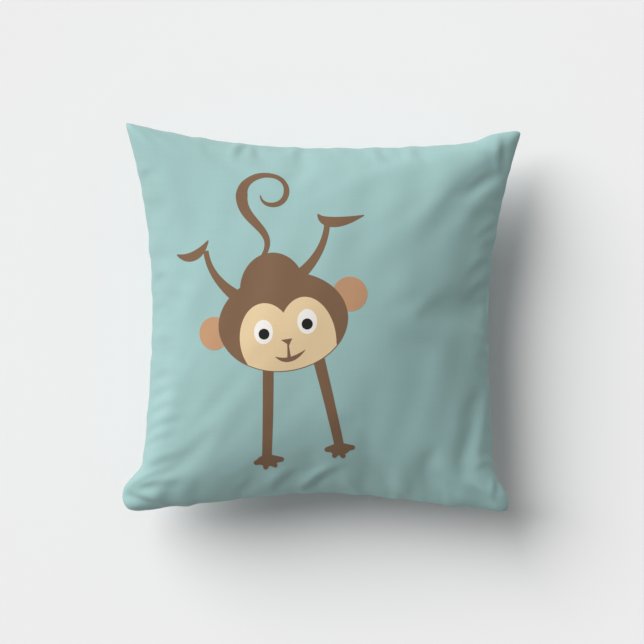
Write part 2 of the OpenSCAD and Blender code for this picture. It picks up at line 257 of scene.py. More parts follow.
# Folds pressed into the front: place on the flat panel (x, y), direction in degrees,
# length, width and height, all in mm.
FOLDS = [
    # short puckers along the lower left seam
    (-182, -56, 14, 17, 4.5, 0.7), (-178, -72, 17, 22, 5, 0.9), (-180, -90, 20, 20, 4.5, 0.9),
    (-176, -106, 20, 24, 5, 1.0), (-180, -122, 22, 20, 4.5, 0.9), (-176, -146, 24, 22, 5.5, 1.1),
    (-184, 42, 15, 14, 5, 0.6), (-184, 14, 12, 14, 5, 0.6), (-180, -22, 12, 18, 6, 0.6),
    # fan at the lower left corner
    (-184, -184, -22, 22, 4.5, 2.0), (-176, -172, 8, 24, 5.5, 1.6), (-190, -168, 38, 14, 4, 1.3),
    (-168, -190, -40, 14, 5, 1.3),
    # creases above the bottom seam
    (-4, -176, 46, 22, 6, 2.4), (-40, -176, 54, 18, 7, 1.5), (-78, -182, 62, 14, 7, 0.9),
    (34, -184, 130, 13, 6, 0.9), (92, -186, 118, 12, 7, 0.8), (136, -182, 145, 18, 7, 1.0),
    # lower right corner
    (176, -184, -46, 14, 4.5, 1.6), (190, -174, 55, 12, 4, 1.2), (184, -150, 10, 14, 5, 0.7),
    # right seam
    (186, -44, 160, 14, 5, 0.7), (184, -14, 165, 15, 5, 0.7), (182, 34, 25, 20, 6, 0.9),
    (180, 58, 28, 22, 6, 0.9), (184, 92, 30, 18, 5, 0.7),
    # upper right corner: a crease across its tip and a ridge along the diagonal
    (184, 176, 103, 20, 5, 1.7), (164, 142, 38, 24, 7, 0.8), (148, 150, 43, 46, 15, 2.0),
    (160, 186, 150, 13, 5, 0.9),
    # top seam
    (-84, 186, 74, 14, 5.5, 1.7), (-68, 188, 100, 12, 5, 1.0), (-24, 188, 80, 12, 6, 0.8),
    (58, 186, 112, 14, 6, 1.3), (94, 184, 104, 15, 6.5, 1.2), (24, 190, 90, 10, 6, 0.6),
    # upper left corner
    (-176, 184, 140, 15, 5, 0.9), (-188, 150, 20, 12, 5, 0.7),
]


def fold_height(x, y):
    """Height of the folds at a point of the flat panel, each a ridge beside a valley."""
    total = np.zeros_like(x)
    for x0, y0, angle, length, width, height in FOLDS:
        c, d = math.cos(math.radians(angle)), math.sin(math.radians(angle))
        u = ((x - x0 * MM) * c + (y - y0 * MM) * d) / (length * MM)
        v = ((y - y0 * MM) * c - (x - x0 * MM) * d) / (width * MM) + 0.35 * u * u
        pair = np.exp(-((v - 0.6) ** 2)) - np.exp(-((v + 0.6) ** 2))
        total += height * MM * pair * np.exp(-u * u)
    return total


def softened(grid, times=1):
    """A grid blurred over its neighbours a number of times, with its border held."""
    for _ in range(times):
        out = grid.copy()
        out[1:-1, 1:-1] = (
            4 * grid[1:-1, 1:-1] + 2 * (grid[:-2, 1:-1] + grid[2:, 1:-1] + grid[1:-1, :-2] + grid[1:-1, 2:])
            + grid[:-2, :-2] + grid[:-2, 2:] + grid[2:, :-2] + grid[2:, 2:]
        ) / 16
        grid = out
    return grid


def finish_panel(side, grid):
    """Takes the wrinkles from the simulation, presses in the folds and brings the panel to its height."""
    start = start_grid(side)
    change = grid - start
    wrinkles = softened(change) - softened(change, BROAD)
    coarse = Sheet(start + WRINKLE_SHARE * wrinkles)
    u = np.linspace(-1, 1, FINE_CELLS + 1)
    s, t = np.meshgrid(u, u)
    p = coarse.at(s, t)
    normal = side * np.cross(np.gradient(p, axis=1), np.gradient(p, axis=0))
    normal /= np.linalg.norm(normal, axis=-1, keepdims=True)
    near_seam = smooth(0, 9 * MM, HALF * (1 - np.maximum(np.abs(s), np.abs(t))))
    p += (fold_height(side * s * HALF, t * HALF) * near_seam)[..., None] * normal
    tallest = np.abs(p[..., 2] - SEAM_Z).max()
    p[..., 2] = SEAM_Z + (p[..., 2] - SEAM_Z) * RISE / tallest
    return Sheet(p)


filled = {side: finish_panel(side, grid) for side, grid in zip((1, -1), inflate())}

GROOVE_W = 2.4 * MM
GROOVE_D = 1.3 * MM
FLOOR_SOFT = 1.0 * MM


def cover_point(side, s, t):
    """A point of the cover's outer face, with its zip lips, seam groove and resting patch."""
    p = filled[side].at(s, t)
    gap = LIP * (1 - smooth(OPENING - 4 * MM, OPENING + 12 * MM, np.abs(p[..., 0])))
    p[..., 2] += side * gap * np.clip(-t, 0, 1) ** 24
    depth = GROOVE_D * np.clip(1 - (1 - np.abs(np.stack([s, t], -1))) * HALF / GROOVE_W, 0, 1) ** 2
    depth[..., 1] *= np.where((t < 0), 1 - gap / LIP, 1)
    p[..., :2] -= np.sign(np.stack([s, t], -1)) * depth
    z = p[..., 2]
    p[..., 2] = np.where(z < 12 * MM, FLOOR_SOFT * np.log1p(np.exp(np.minimum(z, 12 * MM) / FLOOR_SOFT)), z)
    return p


def cover_normal(side, s, t, step=0.004):
    low_s, high_s = np.clip(s - step, -1, 1), np.clip(s + step, -1, 1)
    low_t, high_t = np.clip(t - step, -1, 1), np.clip(t + step, -1, 1)
    ds = cover_point(side, high_s, t) - cover_point(side, low_s, t)
    dt = cover_point(side, s, high_t) - cover_point(side, s, low_t)
    n = side * np.cross(ds, dt)
    return n / np.linalg.norm(n, axis=-1, keepdims=True)


# ---------------------------------------------------------------- materials

class Nodes:
    """Short names for building a node tree."""

    def __init__(self, name):
        self.material = bpy.data.materials.new(name)
        self.material.use_nodes = True
        self.tree = self.material.node_tree
        self.shader = self.tree.nodes["Principled BSDF"]

    def add(self, kind, **values):
        made = self.tree.nodes.new(kind)
        for key, value in values.items():
            if hasattr(made, key):
                setattr(made, key, value)
        return made

    def join(self, source, target):
        self.tree.links.new(source, target)

    def math(self, operation, a, b=None):
        made = self.add("ShaderNodeMath", operation=operation)
        for k, v in enumerate((a, b)):
            if v is None:
                continue
            if isinstance(v, (int, float)):
                made.inputs[k].default_value = v
            else:
                self.join(v, made.inputs[k])
        return made.outputs[0]


def woven(name, colour, pitch=0.55 * MM, depth=0.10 * MM, vary=0.035, roughness=0.85, sheen=0.2):
    """Plain-woven cloth: crossing threads in the panel's own flat coordinates, with uneven yarn."""
    n = Nodes(name)
    uv = n.add("ShaderNodeUVMap", uv_map="flat")
    wobble = n.add("ShaderNodeTexNoise", noise_dimensions="2D")
    wobble.inputs["Scale"].default_value = 120
    wobble.inputs["Detail"].default_value = 2
    n.join(uv.outputs[0], wobble.inputs["Vector"])
    split = n.add("ShaderNodeSeparateXYZ")
    n.join(uv.outputs[0], split.inputs[0])
    shift = n.math("MULTIPLY", n.math("SUBTRACT", wobble.outputs[0], 0.5), 1.2)
    waves = []
    for axis in (0, 1):
        turns = n.math("ADD", n.math("MULTIPLY", split.outputs[axis], math.pi / pitch), shift)
        waves.append(n.math("SINE", turns))
    weave = n.math("MULTIPLY", waves[0], waves[1])
    yarns = []
    for stretch in ((1 / pitch * 0.9, 14), (14, 1 / pitch * 0.9)):
        mapping = n.add("ShaderNodeMapping")
        mapping.inputs["Scale"].default_value = (*stretch, 1)
        n.join(uv.outputs[0], mapping.inputs["Vector"])
        yarn = n.add("ShaderNodeTexNoise", noise_dimensions="2D")
        yarn.inputs["Scale"].default_value = 1
        yarn.inputs["Detail"].default_value = 1
        n.join(mapping.outputs[0], yarn.inputs["Vector"])
        yarns.append(yarn.outputs[0])
    cloud = n.add("ShaderNodeTexNoise", noise_dimensions="2D")
    cloud.inputs["Scale"].default_value = 22
    cloud.inputs["Detail"].default_value = 4
    n.join(uv.outputs[0], cloud.inputs["Vector"])
    uneven = n.math("ADD", n.math("ADD", yarns[0], yarns[1]), cloud.outputs[0])
    shade = n.add("ShaderNodeMapRange")
    shade.inputs["From Min"].default_value = 0.9
    shade.inputs["From Max"].default_value = 2.1
    n.join(uneven, shade.inputs["Value"])
    mix = n.add("ShaderNodeMix", data_type="RGBA")
    color_sockets = [i for i in mix.inputs if i.type == "RGBA"]
    color_sockets[0].default_value = (*[c * (1 - vary) for c in colour], 1)
    color_sockets[1].default_value = (*[min(1, c * (1 + vary)) for c in colour], 1)
    n.join(shade.outputs[0], mix.inputs[0])
    color_out = [o for o in mix.outputs if o.type == "RGBA"][0]
    n.join(color_out, n.shader.inputs["Base Color"])
    height = n.math("ADD", n.math("MULTIPLY", weave, 0.5), n.math("MULTIPLY", uneven, 0.5))
    bump = n.add("ShaderNodeBump")
    bump.inputs["Strength"].default_value = 0.6
    bump.inputs["Distance"].default_value = depth
    n.join(height, bump.inputs["Height"])
    n.join(bump.outputs[0], n.shader.inputs["Normal"])
    n.shader.inputs["Roughness"].default_value = roughness
    n.shader.inputs["Sheen Weight"].default_value = sheen
    n.shader.inputs["Sheen Roughness"].default_value = 0.5
    n.shader.inputs["Specular IOR Level"].default_value = 0.25
    return n.material


def metal(name, colour, roughness):
    n = Nodes(name)
    where = n.add("ShaderNodeTexCoord")
    grain = n.add("ShaderNodeTexNoise")
    grain.inputs["Scale"].default_value = 900
    grain.inputs["Detail"].default_value = 5
    n.join(where.outputs["Object"], grain.inputs["Vector"])
    worn = n.add("ShaderNodeMapRange")
    worn.inputs["To Min"].default_value = roughness * 0.7
    worn.inputs["To Max"].default_value = roughness * 1.5
    n.join(grain.outputs[0], worn.inputs["Value"])
    n.join(worn.outputs[0], n.shader.inputs["Roughness"])
    bump = n.add("ShaderNodeBump")
    bump.inputs["Strength"].default_value = 0.25
    bump.inputs["Distance"].default_value = 0.02 * MM
    n.join(grain.outputs[0], bump.inputs["Height"])
    n.join(bump.outputs[0], n.shader.inputs["Normal"])
    n.shader.inputs["Base Color"].default_value = (*colour, 1)
    n.shader.inputs["Metallic"].default_value = 1
    return n.material


def plastic(name, colour, roughness):
    made = metal(name, colour, roughness)
    made.node_tree.nodes["Principled BSDF"].inputs["Metallic"].default_value = 0
    return made


CLOTH_COLOUR = (0.275, 0.434, 0.422)
MATERIALS = {
    "cover_fabric": woven("cover_fabric", CLOTH_COLOUR),
    "ink_fur": woven("ink_fur", (0.172, 0.097, 0.053), sheen=0.1),
    "ink_face": woven("ink_face", (0.645, 0.488, 0.288), sheen=0.1),
    "ink_ears": woven("ink_ears", (0.445, 0.25, 0.135), sheen=0.1),
    "ink_white": woven("ink_white", (0.735, 0.71, 0.67), vary=0.02, sheen=0.1),
    "ink_black": woven("ink_black", (0.009, 0.0095, 0.0075), sheen=0.04),
    "ink_brown_line": woven("ink_brown_line", (0.175, 0.095, 0.056), sheen=0.1),
    "cover_thread": woven("cover_thread", (0.27, 0.43, 0.42), pitch=0.25 * MM),
    "label_tape": woven("label_tape", (0.80, 0.80, 0.78), pitch=0.2 * MM, roughness=0.5),
    "lining": woven("lining", (0.80, 0.79, 0.75), pitch=0.4 * MM),
    "fill_fibre": woven("fill_fibre", (0.86, 0.86, 0.85), pitch=3 * MM, depth=1 * MM),
    "zip_tape": woven("zip_tape", (0.25, 0.40, 0.39), pitch=0.4 * MM),
    "zip_coil": plastic("zip_coil", (0.36, 0.52, 0.50), 0.35),
    "zip_metal": metal("zip_metal", (0.70, 0.70, 0.71), 0.3),
}


# ---------------------------------------------------------------- mesh helpers

def piece(name, verts, faces, slot, nodes, uv=None, body="pillow", sharp=None):
    """Makes a shown piece: its mesh, finish and body, and hides the CAD nodes that it stands for."""
    mesh = bpy.data.meshes.new(name)
    mesh.from_pydata(np.asarray(verts).tolist(), [], [list(f) for f in faces])
    if uv is not None:
        layer = mesh.uv_layers.new(name="flat")
        corners = np.zeros(len(mesh.loops), int)
        mesh.loops.foreach_get("vertex_index", corners)
        layer.data.foreach_set("uv", np.asarray(uv)[corners].ravel())
    mesh.shade_smooth()
    if sharp:
        mesh.set_sharp_from_angle(angle=math.radians(sharp))
    made = bpy.data.objects.new(name, mesh)
    bpy.context.scene.collection.objects.link(made)
    mesh.materials.append(MATERIALS[slot])
    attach(made, body)
    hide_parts(*nodes)
    return made


def joined(parts):
    """One list of vertices and faces from several."""
    verts, faces = [], []
    for v, f in parts:
        start = sum(map(len, verts))
        verts.append(np.asarray(v))
        faces += [[k + start for k in face] for face in f]
    return np.concatenate(verts), faces


def sweep(path, radii, ref, sides=6):
    """A round tube along a path, with a radius at each point and closed ends."""
    path = np.asarray(path, float)
    ahead = np.gradient(path, axis=0)
    ahead /= np.linalg.norm(ahead, axis=1, keepdims=True)
    out = np.cross(ref, ahead)
    out /= np.linalg.norm(out, axis=1, keepdims=True)
    up = np.cross(ahead, out)
    angles = np.arange(sides) * 2 * math.pi / sides
    ring = out[:, None] * np.cos(angles)[:, None] + up[:, None] * np.sin(angles)[:, None]
    verts = (path[:, None] + ring * np.broadcast_to(radii, len(path))[:, None, None]).reshape(-1, 3)
    faces = []
    for m in range(len(path) - 1):
        for c in range(sides):
            a, b = m * sides + c, m * sides + (c + 1) % sides
            faces.append([a, b, b + sides, a + sides])
    last = (len(path) - 1) * sides
    faces.append(list(range(sides))[::-1])
    faces.append([last + c for c in range(sides)])
    return verts, faces


def stitch(a, b, r, ref, bow=None):
    """One stitch from a to b, as a short thread with rounded ends that bows outwards."""
    u = np.array([0, 0.08, 0.3, 0.7, 0.92, 1])
    path = np.outer(1 - u, a) + np.outer(u, b)
    if bow is not None:
        path += np.outer(4 * u * (1 - u), bow)
    return sweep(path, r * np.array([0.3, 0.85, 1, 1, 0.85, 0.3]), ref)


# ---------------------------------------------------------------- cover

EDGE_STEPS = np.array([0, 0.5, 1.1, 1.8, 2.6, 3.8]) * MM
FACE_STEP = 2.7 * MM


def panel_lines():
    """Where the panel's mesh lines lie, closer together beside the seam."""
    inner = HALF - EDGE_STEPS[-1]
    middle = np.linspace(-inner, inner, int(2 * inner / FACE_STEP) + 1)
    outer = HALF - EDGE_STEPS[:-1]
    return np.concatenate([-outer, middle, outer[::-1]]) / HALF


def panel(side):
    """One panel of the cover, with its lip folded in to the zip tape along the opening."""
    lines = panel_lines()
    s, t = np.meshgrid(lines, lines)
    p = cover_point(side, s, t)
    n = len(lines)
    number = np.arange(n * n).reshape(n, n)
    verts = [p.reshape(-1, 3)]
    uv = [np.stack([s, t], -1).reshape(-1, 2) * HALF]
    faces = [quads(number)]
    lip = p[0]
    cols = np.flatnonzero(np.abs(lip[:, 0]) < OPENING + 10 * MM)
    # the fold: in from the lip's edge, then straight back to the tape
    rows = [(0.5 * MM, 0.5 * MM), (1.3 * MM, 0.7 * MM), (2.5 * MM, 0.6 * MM), (5 * MM, 0.2 * MM), (None, 0)]
    previous = number[0][cols]
    count = n * n
    for inwards, drop in rows:
        row = lip[cols].copy()
        deep = TAPE_Y - row[:, 1]
        row[:, 1] += deep if inwards is None else np.minimum(inwards, deep * 0.8)
        height = np.abs(row[:, 2] - SEAM_Z)
        row[:, 2] = SEAM_Z + side * np.maximum(height - drop, height * 0.4)
        new = count + np.arange(len(cols))
        count += len(cols)
        verts.append(row)
        uv.append(np.stack([s[0][cols] * HALF, -HALF - (row[:, 1] - lip[cols, 1])], -1))
        faces.append(quads(np.stack([new, previous])))
        previous = new
    faces = np.concatenate(faces)
    if side < 0:
        faces = faces[:, ::-1]
    name = "front_panel" if side > 0 else "back_panel"
    made = piece(name, np.concatenate(verts), faces, "cover_fabric",
                 ["cover_front" if side > 0 else "cover_back"], np.concatenate(uv))
    shell = made.modifiers.new("cloth thickness", "SOLIDIFY")
    shell.thickness = CLOTH_T
    shell.offset = -1
    return made


panels = {side: panel(side) for side in (1, -1)}


def seam_stitches():
    """Stitches down in the groove between the two panels, all round but the zip opening."""
    pitch, length = 3.2 * MM, 2.5 * MM
    u = np.linspace(-1, 1, 1200)
    one = np.ones_like(u)
    loop = np.concatenate([
        cover_point(1, u, -one), cover_point(1, one, u), cover_point(1, -u, one), cover_point(1, -one, -u)])
    loop[:, 2] = SEAM_Z
    along = np.concatenate([[0], np.cumsum(np.linalg.norm(np.diff(loop, axis=0), axis=1))])
    parts = []
    for a in np.arange(0, along[-1] - pitch, pitch):
        ends = [np.array([np.interp(d, along, loop[:, k]) for k in range(3)]) for d in (a, a + length)]
        if ends[0][1] < -150 * MM and abs(ends[0][0]) < OPENING + 14 * MM:
            continue
        parts.append(stitch(*ends, 0.28 * MM, (0, 0, 1)))
    v, f = joined(parts)
    return piece("seam_stitches", v, f, "cover_thread", ["seam_thread"], v[:, :2])


seam_stitches()

# ---------------------------------------------------------------- print, in mm in plan

HEAD_AT, HEAD_R, HEAD_TILT = (-36, -4), (62, 47), 9
LEFT_EYE, RIGHT_EYE = (-54.5, -13.5), (-13, -3.5)
LEFT_PALM, RIGHT_PALM = (-51.5, -135.5), (17.5, -124)


def oval(centre, radii, tilt=0, count=72):
    a = np.arange(count) * 2 * math.pi / count
    x, y = radii[0] * np.cos(a), radii[1] * np.sin(a)
    c, d = math.cos(math.radians(tilt)), math.sin(math.radians(tilt))
    return np.stack([centre[0] + x * c - y * d, centre[1] + x * d + y * c], -1)


def bezier(control, u):
    points = [np.asarray(p, float)[None] for p in control]
    while len(points) > 1:
        points = [a * (1 - u)[:, None] + b * u[:, None] for a, b in zip(points, points[1:])]
    return points[0]


def stroke(control, widths, count=24):
    """A brush stroke along a curve, with its width at the start, the middle and the end."""
    u = np.linspace(0, 1, count)
    line = bezier(control, u)
    ahead = np.gradient(line, axis=0)
    out = np.stack([-ahead[:, 1], ahead[:, 0]], -1) / np.linalg.norm(ahead, axis=1, keepdims=True)
    w0, w1, w2 = widths
    half = (w0 * (1 - u) + w2 * u + 4 * (w1 - (w0 + w2) / 2) * u * (1 - u)) / 2
    return np.concatenate([line + out * half[:, None], (line - out * half[:, None])[::-1]])


def hand(palm, tips):
    shapes = [oval(np.add(palm, (0, -1.5)), (10, 5.5), count=40)]
    for tip in tips:
        end = np.add(palm, np.multiply(tip, 0.9))
        shapes += [stroke([palm, end], (10, 7.6, 4.8), 6), oval(end, (2.4, 2.4), count=24)]
    return shapes


FUR = [
    oval(HEAD_AT, HEAD_R, HEAD_TILT, 120),
    oval((-46, 27), (31, 35)),
    stroke([(-57, 56), (-36, 84), (-78, 90), (-76, 118)], (4, 7.5, 11.5), 40),
    stroke([(-76, 117.5), (-76, 141), (-33, 143), (-33, 121)], (11.5, 5, 5.5), 40),
    stroke([(-33, 121.5), (-33, 104), (-57, 104), (-58, 117)], (5.5, 4.5, 1), 30),
    stroke([(-70, 14), (-106, 34), (-110, 64)], (15, 7.5, 5)),
    stroke([(-138, 61), (-120, 51), (-108, 74)], (1, 9, 1)),
    stroke([(-28, 34), (4, 58), (6, 91)], (13, 7.5, 5.5)),
    stroke([(-3, 99), (4, 84), (41, 98)], (1, 10, 1)),
    stroke([(-50, -38), (-50, -85), (-52, -134)], (10.4, 10, 9.2)),
    stroke([(-4, -32), (8, -78), (17.5, -122)], (11.5, 10, 9)),
    *hand(LEFT_PALM, [(-12, -4), (-2, -9), (8, -6.5), (15, 0)]),
    *hand(RIGHT_PALM, [(-13, -2), (-5, -8.5), (4, -9), (14, 0)]),
]
EARS = [oval((-102, -15), (14, 16)), oval((27.5, 22.5), (16.5, 16.5))]
FACE_LIMIT = oval(HEAD_AT, (HEAD_R[0] - 0.8, HEAD_R[1] - 0.8), HEAD_TILT, 120)
FACE = [oval((-51, -22), (26, 36), 8), oval((-12.5, -20), (27, 40), 7), oval((-27, -34), (43, 22), 14)]
EYES = [oval(LEFT_EYE, (9, 11.5)), oval(RIGHT_EYE, (9.3, 11.7))]
PUPILS = [
    oval(np.add(LEFT_EYE, (0.5, -2)), (5.2, 5.2), count=40),
    oval(np.add(RIGHT_EYE, (0, -2.4)), (5.3, 5.3), count=40),
]
NOSE_MOUTH = [
    np.array([(-38, -21), (-30, -26), (-27, -19.4)], float),
    stroke([(-31.2, -24), (-30, -39)], (1.6, 2.4, 4), 12),
    stroke([(-43, -37), (-30, -45), (-15, -30.5)], (0.6, 4.6, 0.6)),
]


def inside(points, outline):
    """Which points lie in an outline, by the winding number, so strokes that cross themselves stay full."""
    a, b = outline, np.roll(outline, -1, 0)
    wind = np.zeros(len(points), int)
    for (ax, ay), (bx, by) in zip(a, b):
        left = (bx - ax) * (points[:, 1] - ay) - (points[:, 0] - ax) * (by - ay)
        wind += ((ay <= points[:, 1]) & (by > points[:, 1]) & (left > 0)).astype(int)
        wind -= ((ay > points[:, 1]) & (by <= points[:, 1]) & (left < 0)).astype(int)
    return wind != 0


def any_inside(points, shapes):
    found = np.zeros(len(points), bool)
    for outline in shapes:
        found |= inside(points, outline)
    return found


def spaced(outline, step):
    """The outline with points added so that none of its sides is longer than step."""
    out = []
    for a, b in zip(outline, np.roll(outline, -1, 0)):
        parts = max(1, math.ceil(np.linalg.norm(b - a) / step))
        out += [a + (b - a) * k / parts for k in range(parts)]
    return np.array(out)


def print_triangles():
    """Triangles over the printed part, cut along every outline. Returns points and triangles in mm."""
    shapes = [*EARS, *FUR, FACE_LIMIT, *FACE, *EYES, *PUPILS, *NOSE_MOUTH]
    verts, edges = [], []
    for outline in shapes:
        ring = spaced(outline, 1.8)
        start = len(verts)
        verts += ring.tolist()
        edges += [(start + k, start + (k + 1) % len(ring)) for k in range(len(ring))]
    rings = np.array(verts)
    xs, ys = np.meshgrid(np.arange(-145, 50, 2.4), np.arange(-150, 145, 2.4))
    xs[1::2] += 1.2
    inner = np.stack([xs.ravel(), ys.ravel()], -1)
    inner = inner[any_inside(inner, [*EARS, *FUR])]
    close = np.zeros(len(inner), bool)
    for part in np.array_split(np.arange(len(inner)), 20):
        gap = np.linalg.norm(inner[part][:, None] - rings[None], axis=-1).min(1)
        close[part] = gap < 0.8
    verts += inner[~close].tolist()
    made = delaunay_2d_cdt([Vector(v) for v in verts], edges, [], 0, 1e-4)
    return np.array(made[0]), np.array(made[2])


def print_layer(points):
    """The top ink at each point: an index into LAYERS, or -1 where the fabric is bare."""
    layer = np.full(len(points), -1)
    layer[any_inside(points, EARS)] = 0
    layer[any_inside(points, FUR)] = 1
    face = any_inside(points, FACE) & inside(points, FACE_LIMIT)
    layer[face] = 2
    layer[any_inside(points, EYES)] = 3
    layer[any_inside(points, PUPILS)] = 4
    layer[any_inside(points, NOSE_MOUTH)] = 5
    return layer


LAYERS = [
    ("ears_print", "ink_ears", "print_ears"),
    ("fur_print", "ink_fur", "print_fur"),
    ("face_print", "ink_face", "print_face"),
    ("eye_whites_print", "ink_white", "print_eye_whites"),
    ("pupils_print", "ink_black", "print_pupils"),
    ("nose_mouth_print", "ink_brown_line", "print_nose_mouth"),
]


def to_panel(points):
    """From mm in plan on the filled pillow to the flat panel's s and t."""
    target = points * MM
    even = Sheet(start_grid(1))
    u = target / HALF
    for _ in range(14):
        u += (target - even.at(u[:, 0], u[:, 1])[:, :2]) / HALF
    return u


def ink_films():
    points, triangles = print_triangles()
    layer = print_layer(points[triangles].mean(1))
    st = to_panel(points)
    top = cover_point(1, st[:, 0], st[:, 1])
    normal = cover_normal(1, st[:, 0], st[:, 1])
    for k, (name, slot, node) in enumerate(LAYERS):
        mine = triangles[layer == k]
        used, faces = np.unique(mine, return_inverse=True)
        faces = faces.reshape(-1, 3)
        n = len(used)
        sides = np.concatenate([faces[:, [0, 1]], faces[:, [1, 2]], faces[:, [2, 0]]])
        both = {tuple(e) for e in sides.tolist()}
        rim = [(a, b) for a, b in both if (b, a) not in both]
        lifted = [top[used] + normal[used] * PRINT_LIFT * share for share in (1, 0.3)]
        verts = np.concatenate(lifted)
        all_faces = faces.tolist() + (faces[:, ::-1] + n).tolist() + [[b, a, a + n, b + n] for a, b in rim]
        flat = np.concatenate([st[used], st[used]]) * HALF
        piece(name, verts, all_faces, slot, [node], flat, sharp=40)


ink_films()

# ---------------------------------------------------------------- insert, hidden in the cover

BEHIND_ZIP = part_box("zip_slider")[1].y


def clear_of_zip(p, gap):
    """Holds points inside the zip by a gap, where the pillow's lower edge bows out past it."""
    p[..., 1] = np.maximum(p[..., 1], BEHIND_ZIP + gap)
    return p


def inner_sheet(side, share, less, cells=56):
    """A surface inside the cover: a share of its plan, standing less high by a fixed amount."""
    u = np.sin(np.linspace(-math.pi / 2, math.pi / 2, cells + 1))
    s, t = np.meshgrid(u, u)
    p = cover_point(side, s * share, t * share)
    height = np.maximum(0, np.abs(p[..., 2] - SEAM_Z) - less)
    soft = np.sqrt(np.maximum(0, (1 - s**6) * (1 - t**6)))
    p[..., 2] = SEAM_Z + side * height * soft
    p[..., 2] = np.maximum(p[..., 2], less)
    clear_of_zip(p, less)
    return p, np.stack([s, t], -1) * HALF


def insert_piece(name, node, slot, sides, share, less):
    parts, uvs = [], []
    for side in sides:
        p, uv = inner_sheet(side, share, less)
        n = len(p)
        faces = quads(np.arange(n * n).reshape(n, n))
        parts.append((p.reshape(-1, 3), (faces if side > 0 else faces[:, ::-1]).tolist()))
        uvs.append(uv.reshape(-1, 2))
    v, f = joined(parts)
    made = piece(name, v, f, slot, [node], np.concatenate(uvs))
    if len(sides) == 1:
        shell = made.modifiers.new("cloth thickness", "SOLIDIFY")
        shell.thickness = 0.4 * MM
        shell.offset = -1
    return made


insert_piece("insert_front_panel", "insert_case_front", "lining", [1], 0.93, 2 * MM)
insert_piece("insert_back_panel", "insert_case_back", "lining", [-1], 0.93, 2 * MM)
insert_piece("insert_filling", "insert_fill", "fill_fibre", [1, -1], 0.92, 3.2 * MM)


def insert_stitches():
    u = np.linspace(-1, 1, 300)
    one = np.ones_like(u)
    k = 0.925
    loop = np.concatenate([cover_point(1, *(k * q)) for q in (
        np.stack([u, -one]), np.stack([one, u]), np.stack([-u, one]), np.stack([-one, -u]))])
    loop[:, 2] = SEAM_Z
    clear_of_zip(loop, 2.2 * MM)
    parts = [stitch(loop[m], loop[m + 2], 0.25 * MM, (0, 0, 1)) for m in range(0, len(loop) - 3, 3)
             if np.linalg.norm(loop[m] - loop[m + 2]) > 0.5 * MM]
    v, f = joined(parts)
    return piece("insert_stitches", v, f, "lining", ["insert_seam_thread"], v[:, :2])


insert_stitches()

# ---------------------------------------------------------------- zip

def slab(node, name, slot, cuts=(60, 4), bevel=0.1 * MM, body="pillow"):
    """A flat strip of cloth filling a CAD node's box, finely divided, with soft edges."""
    lo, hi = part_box(node)
    nx, nz = cuts
    xs, zs = np.linspace(lo.x, hi.x, nx + 1), np.linspace(lo.z, hi.z, nz + 1)
    x, z = np.meshgrid(xs, zs)
    outer = np.stack([x, np.full_like(x, lo.y), z], -1).reshape(-1, 3)
    uv = np.stack([x, z], -1).reshape(-1, 2)
    made = piece(name, outer, quads(np.arange(x.size).reshape(x.shape)), slot, [node], uv, body)
    shell = made.modifiers.new("thickness", "SOLIDIFY")
    shell.thickness = hi.y - lo.y
    shell.offset = -1
    soft = made.modifiers.new("edges", "BEVEL")
    soft.width = bevel
    soft.segments = 2
    return made


slab("zip_tape_front", "zip_tape_upper", "zip_tape")
slab("zip_tape_back", "zip_tape_lower", "zip_tape")


def coil(node, name, shift):
    """A nylon coil: one long helix of monofilament, sewn flat on its tape."""
    lo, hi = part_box(node)
    pitch, wire = 2 * MM, 0.36 * MM
    front = node.endswith("front")
    # the slider's wedge passes between the two coils
    near = SEAM_Z + (0.97 * MM if front else -0.97 * MM)
    far = hi.z if front else lo.z
    turns = int((hi.x - lo.x - 2 * wire) / pitch) - 1
    a = np.linspace(0, turns * 2 * math.pi, turns * 14 + 1)
    x = lo.x + wire + shift + pitch * a / (2 * math.pi)
    head = (1 + np.cos(a)) / 2
    z = far + (near - far) * (0.5 + 0.5 * np.cos(a))
    z += np.where(front, 1, -1) * wire * (1 - 2 * head)
    y = (lo.y + hi.y) / 2 + 0.6 * MM * np.sin(a)
    v, f = sweep(np.stack([x, y, z], -1), wire, (1, 0, 0))
    core_x = x[::14]
    core_y = np.full_like(core_x, hi.y - 1.0 * MM)
    core = np.stack([core_x, core_y, np.full_like(core_x, (near + far) / 2)], -1)
    v, f = joined([(v, f), sweep(core, 0.3 * MM, (0, 1, 0))])
    return piece(name, v, f, "zip_coil", [node], v[:, ::2])


coil("zip_coil_front", "zip_coil_upper", 0)
coil("zip_coil_back", "zip_coil_lower", 1 * MM)


def tape_stitches(node, name):
    lo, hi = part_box(node)
    z = (lo.z + hi.z) / 2
    starts = np.arange(lo.x, hi.x - 2.6 * MM, 4 * MM)
    parts = [stitch((x, hi.y - 0.3 * MM, z), (x + 3 * MM, hi.y - 0.3 * MM, z), 0.22 * MM, (0, 0, 1),
                    (0, -0.15 * MM, 0)) for x in starts]
    v, f = joined(parts)
    return piece(name, v, f, "cover_thread", [node], v[:, ::2])


tape_stitches("zip_stitching_front", "zip_stitches_upper")
tape_stitches("zip_stitching_back", "zip_stitches_lower")


